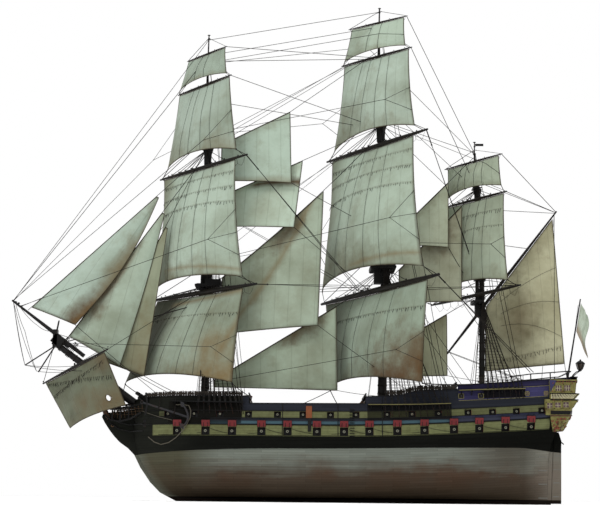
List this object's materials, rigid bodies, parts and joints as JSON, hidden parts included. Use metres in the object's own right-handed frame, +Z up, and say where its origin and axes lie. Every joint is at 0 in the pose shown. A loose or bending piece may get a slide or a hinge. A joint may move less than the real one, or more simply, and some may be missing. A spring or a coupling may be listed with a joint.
{
  "type": "sailing warship scale model",
  "caption": "Scale model of a full-rigged two-decked sailing warship with all sail set, banded hull, rows of gun ports and a swinging rudder.",
  "frame": {"origin": "underside of the keel, on the centre line, halfway along the keel's flat length", "axes": "+Z up, -X towards the bow, -Y towards the port side"},
  "size_m": [1.639, 0.5652, 1.445],
  "materials": {
    "black_hull": "aged paint on planked wood, off-white below the waterline",
    "ochre": "aged ochre paint",
    "spar": "near-black painted wood",
    "sailcloth": "stained grey-green linen with stitched seams",
    "flag": "thin faded cloth",
    "rope": "tarred cord"
  },
  "bodies": {
    "ship": {"hull": "black_hull", "keel": "black_hull", "stern_gallery": "ochre", "beakhead": "black_hull", "poop_rail": "spar", "stern_lantern": "spar", "bowsprit": "spar", "jibboom": "spar", "flagstaff": "spar", "ensign": "flag", "fore_lower_mast": "spar", "fore_topmast": "spar", "fore_topgallant_mast": "spar", "main_lower_mast": "spar", "main_topmast": "spar", "main_topgallant_mast": "spar", "mizzen_lower_mast": "spar", "mizzen_topmast": "spar", "mizzen_topgallant_mast": "spar", "fore_course_yard": "spar", "fore_topsail_yard": "spar", "fore_topgallant_yard": "spar", "fore_royal_yard": "spar", "main_course_yard": "spar", "main_topsail_yard": "spar", "main_topgallant_yard": "spar", "main_royal_yard": "spar", "crossjack_yard": "spar", "mizzen_topsail_yard": "spar", "mizzen_topgallant_yard": "spar", "mizzen_lateen_yard": "spar", "spritsail_yard": "spar", "spritsail": "sailcloth", "fore_course_sail": "sailcloth", "fore_topsail_sail": "sailcloth", "fore_topgallant_sail": "sailcloth", "fore_royal_sail": "sailcloth", "main_course_sail": "sailcloth", "main_topsail_sail": "sailcloth", "main_topgallant_sail": "sailcloth", "main_royal_sail": "sailcloth", "mizzen_topsail_sail": "sailcloth", "mizzen_topgallant_sail": "sailcloth", "mizzen_lateen_sail": "sailcloth", "jib": "sailcloth", "fore_topmast_staysail": "sailcloth", "fore_staysail": "sailcloth", "main_topgallant_staysail": "sailcloth", "middle_staysail": "sailcloth", "main_topmast_staysail": "sailcloth", "main_staysail": "sailcloth", "mizzen_topgallant_staysail": "sailcloth", "mizzen_topmast_staysail": "sailcloth", "mizzen_staysail": "sailcloth", "fore_topmast_stay": "rope", "main_topmast_stay": "rope", "main_stay": "rope", "mizzen_topmast_stay": "rope", "mizzen_stay": "rope"},
    "rudder": {"rudder": "black_hull"}
  },
  "joints": [
    {"name": "rudder_hinge", "type": "hinge", "parent": "ship", "child": "rudder", "pos_m": [0.52295, 0, 0.0025], "axis": [0.059, 0, 0.9983], "range_deg": [-35, 35]}
  ]
}
